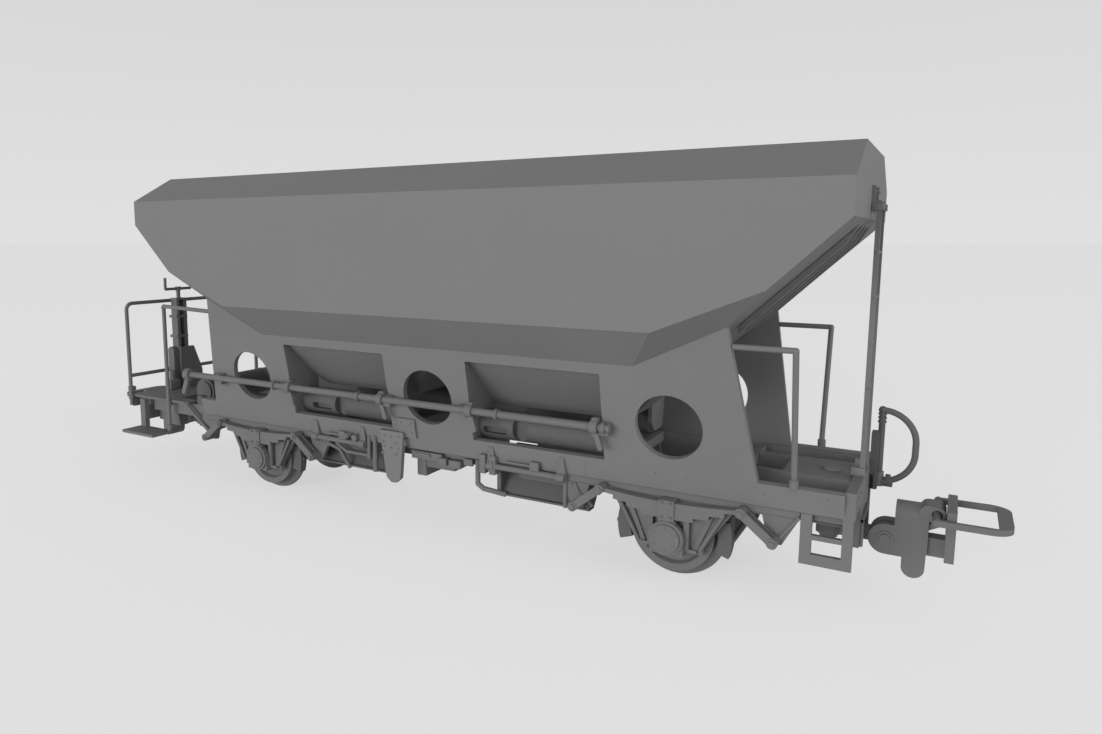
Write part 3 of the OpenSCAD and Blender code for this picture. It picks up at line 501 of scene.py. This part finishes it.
# %% Underbeam pipes
PIPE_OUT = 8.75
PIPE_Z = 9.35
PIPE_R = 0.34
CLAMP_R = 0.52
HANGER_OUT = 8.3
HANGER_TOP = 11.6
ROD_OUT = PIPE_OUT + 0.1
ROD_Z = PIPE_Z + 0.75
bm = bmesh.new()
for side in (NEAR, FAR):
    for start_x, end_x in ((-19.0, -10.2), (7.6, 17.4)):
        bar(bm, at(start_x, PIPE_OUT, PIPE_Z, side), at(end_x, PIPE_OUT, PIPE_Z, side), PIPE_R, 18)
        for x in (start_x + 0.5, end_x - 0.5):
            clamp = at(x - 0.45, PIPE_OUT, PIPE_Z, side), at(x + 0.45, PIPE_OUT, PIPE_Z, side)
            bar(bm, *clamp, CLAMP_R, 18)
            hanger = [
                at(x - 0.3, HANGER_OUT, HANGER_TOP, side),
                at(x + 0.3, HANGER_OUT, HANGER_TOP, side),
                at(x + 0.6, HANGER_OUT, PIPE_Z, side),
                at(x - 0.6, HANGER_OUT, PIPE_Z, side),
            ]
            plate(bm, hanger, Vector((0, side * 0.55 * MM, 0)))
        rod_end = at(end_x - 3.2, ROD_OUT, ROD_Z, side)
        bar(bm, at(start_x + 2.4, ROD_OUT, ROD_Z, side), rod_end, 0.16)
        box(bm, at(end_x - 4.2, 8.6, PIPE_Z + 0.3, side), at(end_x - 3.1, 9.1, PIPE_Z + 1.3, side))
    bar(bm, at(-13.4, 9.0, PIPE_Z + 0.55, side), at(-12.4, 9.35, PIPE_Z + 1.15, side), 0.34)
    bar(bm, at(-11.6, 8.8, PIPE_Z + 0.8, side), at(-11.6, 9.4, PIPE_Z + 0.8, side), 0.42, 16)
add_piece("underbeam_pipes", bm, "running_plastic")

# %% [markdown]
# Bent release rods reach from the side beam in to the chutes. Each is one bar that changes
# direction twice, so it is drawn as a path with a small ball at every corner.

# %% Release rods
FRONT_ROD = [(5.9, 8.0, 9.6), (5.9, 8.0, 6.7), (6.6, 7.9, 6.2), (9.2, 7.2, 5.7)], 0.3
REAR_ROD = [(-18.8, 8.1, 8.3), (-16.6, 8.1, 8.4), (-15.2, 7.9, 7.9), (-14.0, 7.3, 5.4)], 0.26
SHORT_ROD = [(-15.4, 8.4, 8.9), (-13.6, 8.4, 7.9), (-10.0, 8.4, 7.9)], 0.2
bm = bmesh.new()
for side in (NEAR, FAR):
    for path, radius in (FRONT_ROD, REAR_ROD, SHORT_ROD):
        bent_bar(bm, [at(*point, side) for point in path], radius)
    bar(bm, at(-9.9, 8.4, 10.6, side), at(-9.9, 8.4, 7.5, side), 0.28)
    bar(bm, at(-8.9, 8.4, 10.6, side), at(-8.9, 8.4, 6.0, side), 0.34)
    bar(bm, at(17.2, 8.2, 9.4, side), at(17.2, 8.2, 5.9, side), 0.26)
    bar(bm, at(17.9, 8.2, 8.7, side), at(20.4, 8.2, 6.6, side), 0.2)
    for x in (6.7, 8.0):
        box(bm, at(x, 8.2, 8.4, side), at(x + 0.8, 9.1, 10.6, side))
    rivet(bm, at(8.4, 9.1, 9.9, side), (0, side, 0), 0.24, 0.2)
add_piece("release_rods", bm, "running_plastic")

# %% [markdown]
# A row of small valve boxes and a cable duct hang under the middle of the frame. They are plain
# castings, so softened boxes of different lengths are enough, with a deeper one behind them.

# %% Valve boxes
bm = bmesh.new()
for side in (NEAR, FAR):
    box(bm, at(-3.4, 7.75, 8.55, side), at(1.0, 8.3, 9.5, side))
    box(bm, at(-3.0, 8.25, 8.95, side), at(-0.6, 8.5, 9.35, side), 0.04)
    box(bm, at(0.7, 7.9, 8.35, side), at(1.9, 8.75, 9.2, side))
    box(bm, at(2.3, 7.9, 8.25, side), at(3.9, 8.8, 9.15, side))
    box(bm, at(4.1, 7.9, 8.7, side), at(5.3, 8.35, 9.5, side))
    box(bm, at(-3.6, 3.4, 6.0, side), at(-2.2, 6.9, 8.9, side), 0.15)
    box(bm, at(-2.2, 3.4, 7.2, side), at(2.0, 6.9, 9.3, side), 0.15)
add_piece("valve_boxes", bm, "running_plastic")

# %% [markdown]
# The face of each discharge chute is plain, with a long hand hole near its top and a thin folded
# lip along its foot. The hole is drawn as a dark plate let into the face, its lower edge shorter;
# its dark grey is painted shade for the depth of the hole.

# %% Chute faces
CHUTE_X = 13.86
CHUTE_OUT = 7.25
SLOT_SUNK = 0.1
SLOT_TOP = 8.9
SLOT_FOOT = 8.0
LIP_HALF = 5.8
slot_out = CHUTE_OUT - SLOT_SUNK
bm = bmesh.new()
for end in (FRONT, REAR):
    for side in (NEAR, FAR):
        middle = end * CHUTE_X
        slot = [
            at(middle - 3.4, slot_out, SLOT_TOP, side),
            at(middle + 3.0, slot_out, SLOT_TOP, side),
            at(middle + 3.0, slot_out, SLOT_FOOT, side),
            at(middle - 2.6, slot_out, SLOT_FOOT, side),
        ]
        # the hand hole plate is dark grey as painted shade of the hole
        plate(bm, slot, Vector((0, side * 0.13 * MM, 0)))
        lip = at(middle - LIP_HALF, 7.0, 5.6, side)
        box(bm, lip, at(middle + LIP_HALF, CHUTE_OUT + 0.12, 5.85, side))
add_piece("chute_faces", bm, "gear_plastic")

# %% [markdown]
# The operating shaft turns in clamped bearings. Each bearing gets a cap above and below the shaft,
# both with a bolt, and plain collars are set along the shaft.

# %% Shaft clamps
SHAFT_Z = 15.9
SHAFT_OUT = 10.48
CAP_HALF = 0.35
cap_out = SHAFT_OUT + 0.1
bm = bmesh.new()
for side in (NEAR, FAR):
    for x in (-21.4, -6.3, 6.3, 21.4):
        for z in (SHAFT_Z - 0.75, SHAFT_Z + 0.75):
            back = at(x - CAP_HALF, SHAFT_OUT - 0.9, z - 0.2, side)
            box(bm, back, at(x + CAP_HALF, cap_out, z + 0.2, side), 0.05)
            rivet(bm, at(x, cap_out, z, side), (0, side, 0), 0.15, 0.12)
    for x in (-41.3, -24.1, -9.8, 9.8, 22.4):
        collar_end = at(x + 0.2, SHAFT_OUT, SHAFT_Z, side)
        bar(bm, at(x - 0.2, SHAFT_OUT, SHAFT_Z, side), collar_end, 0.6, 20)
add_piece("shaft_clamps", bm, "running_plastic")

# %% [markdown]
# The axleboxes carry a round cover with six bolts in a ring, and the springs lie under a clamp with
# two pairs of bolts. A tie bar joins the feet of each guard.

# %% Axlebox covers
AXLE_X = 28.9
AXLE_Z = 5.18
BOX_OUT = 9.95
BOLT_RING = 1.22
SPRING_OUT = 9.85
bm = bmesh.new()
for end in (FRONT, REAR):
    for side in (NEAR, FAR):
        x = end * AXLE_X
        bar(bm, at(x, BOX_OUT - 0.3, AXLE_Z, side), at(x, BOX_OUT + 0.02, AXLE_Z, side), 0.95, 28)
        for turn in range(6):
            angle = math.radians(60 * turn + 30)
            bolt_x = x + BOLT_RING * math.cos(angle)
            bolt_z = AXLE_Z + BOLT_RING * math.sin(angle)
            rivet(bm, at(bolt_x, BOX_OUT - 0.03, bolt_z, side), (0, side, 0), 0.13, 0.1)
        for step in (-1, 1):
            box(bm, at(x + step * 1.55, 8.35, 4.1, side), at(x + step * 2.15, 8.9, 7.4, side), 0.08)
            for z in (8.95, 7.4):
                rivet(bm, at(x + step * 0.45, SPRING_OUT, z, side), (0, side, 0), 0.17, 0.12)
        box(bm, at(x - 2.9, 8.3, 3.75, side), at(x + 2.9, 8.75, 4.15, side), 0.08)
add_piece("axlebox_covers", bm, "running_plastic")

# %% [markdown]
# The springs hang in shackles, which show the nuts of their pins as six-sided bars. Slanting bars
# and short ribs stiffen the axle guards.

# %% Shackle nuts and guard ribs
NUT_OUT = (9.7, 10.02)
BRACE_OUT = 8.55
bm = bmesh.new()
for end in (FRONT, REAR):
    for side in (NEAR, FAR):
        for step in (-1, 1):
            for nut, z, radius in ((10.2, 6.7, 0.3), (7.2, 9.1, 0.28)):
                x = end * AXLE_X + step * nut
                bar(bm, *(at(x, out, z, side) for out in NUT_OUT), radius, 6)
            top_x = end * AXLE_X + step * 5.6
            foot_x = end * AXLE_X + step * 3.2
            bar(bm, at(top_x, BRACE_OUT, 8.6, side), at(foot_x, BRACE_OUT, 4.2, side), 0.22)
            rib_x = end * AXLE_X + step * 7.7
            box(bm, at(rib_x - 0.15, 8.1, 8.1, side), at(rib_x + 0.15, 8.7, 9.0, side), 0.05)
add_piece("guard_ribs", bm, "running_plastic")

# %% [markdown]
# A thin brace edges the foot of each outer spring hanger, and holds it against the pull of the
# spring. One bar between two points is all it takes.

# %% Hanger braces
bm = bmesh.new()
for side in (NEAR, FAR):
    bar(bm, at(39.5, 8.3, 6.9, side), at(41.2, 8.3, 9.2, side), 0.16)
    bar(bm, at(18.3, 8.3, 8.9, side), at(19.2, 8.3, 7.0, side), 0.2)
add_piece("hanger_braces", bm, "frame_plastic")

# %% [markdown]
# The platform has an edge angle, a brake column with bolted collars, and a low box beside it. Two
# straps go round the air tank. Handrail posts stand in small clamps, bolted to the frame.

# %% Platform fittings
POST_OUT = 8.8
FLOOR_Z = 11.1
RAIL_X = -47.95
TANK_X = -42.3
TANK_Z = 12.66
STRAP_R = 1.97
STRAP_W = 0.4
bm = bmesh.new()
for side in (NEAR, FAR):
    for x, z in ((RAIL_X, 10.6), (RAIL_X, 7.0), (-56.75, 10.7), (-56.75, 12.0)):
        bar(bm, at(x, POST_OUT, z - 0.35, side), at(x, POST_OUT, z + 0.35, side), 0.42, 16)
        box(bm, at(x - 0.3, 8.1, z - 0.3, side), at(x + 0.3, POST_OUT, z + 0.3, side), 0.05)
    bar(bm, at(RAIL_X, POST_OUT, 24.85, side), at(RAIL_X, POST_OUT, 25.15, side), 0.36, 16)
box(bm, at(-57.05, -8.3, FLOOR_Z - 0.7, FAR), at(-56.85, 8.3, FLOOR_Z - 0.05, FAR), 0.04)
for z in (13.0, 16.0, 19.2, 22.4):
    box(bm, at(-56.9, -1.1, z, FAR), at(-55.1, 1.1, z + 0.45, FAR), 0.08)
    for out in (-0.7, 0.7):
        rivet(bm, at(-55.1, out, z + 0.22, FAR), (1, 0, 0), 0.17, 0.14)
box(bm, at(-55.5, -3.6, FLOOR_Z, FAR), at(-54.0, -1.7, FLOOR_Z + 1.6, FAR), 0.2)
bar(bm, at(-54.8, -2.6, FLOOR_Z + 1.4, FAR), at(-54.8, -2.6, FLOOR_Z + 3.0, FAR), 0.45, 18)
for out in (-4.6, 4.2):
    bar(bm, at(TANK_X, out, TANK_Z, FAR), at(TANK_X, out + STRAP_W, TANK_Z, FAR), STRAP_R, 40)
add_piece("platform_fittings", bm, "frame_plastic")

# %% [markdown]
# The ladder's stiles are bolted to small feet on the headstock, and to two tabs at the top. Its
# rungs show on the outside as small round ends.

# %% Ladder fittings
bm = bmesh.new()
for side in (NEAR, FAR):
    for z in (16.6, 20.9, 25.2, 29.5, 33.8):
        rivet(bm, at(45.68, 1.93, z, side), (0, side, 0), 0.16, 0.1)
    box(bm, at(44.7, 1.35, 12.3, side), at(45.95, 2.15, 13.1, side), 0.06)
    box(bm, at(45.02, 1.25, 37.7, side), at(46.1, 2.1, 38.35, side), 0.06)
    rivet(bm, at(45.3, 1.72, 39.5, side), (1, 0, 0), 0.16, 0.12)
    bar(bm, at(40.6, 8.62, 11.9, side), at(40.6, 8.7, 12.9, side), 0.42, 16)
add_piece("ladder_fittings", bm, "frame_plastic")

# %% [markdown]
# The headstocks carry bolt heads and a guide round the coupler, wide enough for its full swing. The
# front one also has the end cock of the brake pipe with its handle.

# %% Headstock fittings
FRONT_X = 45.9
REAR_X = 53.8
GUIDE_OUT = 2.6
GUIDE_HALF = 0.25
GUIDE_T = 0.3
COCK_X = FRONT_X + 0.85
HOSE_OUT = 4.2
bm = bmesh.new()
for end, face in ((FRONT, FRONT_X), (REAR, REAR_X)):
    for out in (-7.3, -5.6, 2.6, 5.6, 7.3):
        for z in (10.2, 11.7) if end == FRONT else (10.2,):
            rivet(bm, at(end * face, out, z, FAR), (end, 0, 0), 0.18, 0.12)
    guide_face = end * (face + GUIDE_T)
    for out in (-GUIDE_OUT, GUIDE_OUT):
        back = at(end * face, out - GUIDE_HALF, 5.5, FAR)
        box(bm, back, at(guide_face, out + GUIDE_HALF, 8.3, FAR), 0.05)
    reach_out = GUIDE_OUT + GUIDE_HALF
    box(bm, at(end * face, -reach_out, 7.9, FAR), at(guide_face, reach_out, 8.35, FAR), 0.05)
box(bm, at(FRONT_X, 3.5, 9.6, FAR), at(FRONT_X + 0.5, 4.9, 11.2, FAR), 0.08)
bar(bm, at(COCK_X, HOSE_OUT, 9.9, FAR), at(COCK_X, HOSE_OUT, 11.4, FAR), 0.46, 18)
bar(bm, at(COCK_X, HOSE_OUT, 10.9, FAR), at(COCK_X, 5.6, 10.9, FAR), 0.16)
add_piece("headstock_fittings", bm, "frame_plastic")

# %% [markdown]
# The hose has a ribbed sleeve and a coupling head at its lower end. Short rings round the bar
# give the ribs.

# %% Hose sleeve
bm = bmesh.new()
for z in (16.6, 17.0, 17.4):
    bar(bm, at(COCK_X, HOSE_OUT, z - 0.1, FAR), at(COCK_X, HOSE_OUT, z + 0.1, FAR), 0.4, 18)
bar(bm, at(FRONT_X + 1.2, HOSE_OUT, 10.4, FAR), at(FRONT_X + 2.1, HOSE_OUT, 10.4, FAR), 0.46, 18)
box(bm, at(FRONT_X + 1.45, 3.75, 10.0, FAR), at(FRONT_X + 1.95, 4.65, 11.1, FAR), 0.08)
add_piece("hose_sleeve", bm, "gear_plastic")

# %% [markdown]
# Each coupler shows a washer round the pin through its cheeks and two small stays between its head
# and its buffer plate. They swing with the coupler, so they ride on its body.

# %% Coupler fittings
SHANK_Z = 6.2
PIN_X = 2.1
CHEEK_OUT = 1.3
STAY_X = (5.65, 7.12)
STAY_T = 0.4
for end, face, name in ((FRONT, FRONT_X, "front"), (REAR, REAR_X, "rear")):
    pin_x = end * (face + PIN_X)
    head_x, plate_x = (end * (face + x) for x in STAY_X)
    bm = bmesh.new()
    for side in (NEAR, FAR):
        cheek = at(pin_x, CHEEK_OUT, SHANK_Z, side)
        bar(bm, cheek, at(pin_x, 1.42, SHANK_Z, side), 0.8, 28)
        bar(bm, cheek, at(pin_x, 1.6, SHANK_Z, side), 0.5, 24)
    for out in (-0.95, 0.55):
        stay = [
            at(head_x, out, 7.6, FAR), at(plate_x, out, 8.4, FAR),
            at(plate_x, out, 9.0, FAR), at(head_x, out, 8.2, FAR),
        ]
        plate(bm, stay, Vector((0, STAY_T * MM, 0)))
    add_piece(f"coupler_fittings_{name}", bm, "running_plastic", f"coupler_{name}_body")

# %% [markdown]
# Four balance studs stand on the outer face of each wheel. They turn with the axle, so they ride on
# the body of the wheelset.

# %% Wheel studs
STUD_RING = 2.5
STUD_OUT = 6.52
for end, name in ((FRONT, "front"), (REAR, "rear")):
    bm = bmesh.new()
    for side in (NEAR, FAR):
        x = end * AXLE_X
        for turn in range(4):
            angle = math.radians(90 * turn + 45)
            stud_x = x + STUD_RING * math.cos(angle)
            stud_z = AXLE_Z + STUD_RING * math.sin(angle)
            rivet(bm, at(stud_x, STUD_OUT, stud_z, side), (0, side, 0), 0.28, 0.16)
    add_piece(f"wheel_caps_{name}", bm, "running_plastic", f"wheelset_{name}")

# %% [markdown]
# Last, the bounds of the model are measured.

# %% Finish
low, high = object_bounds()
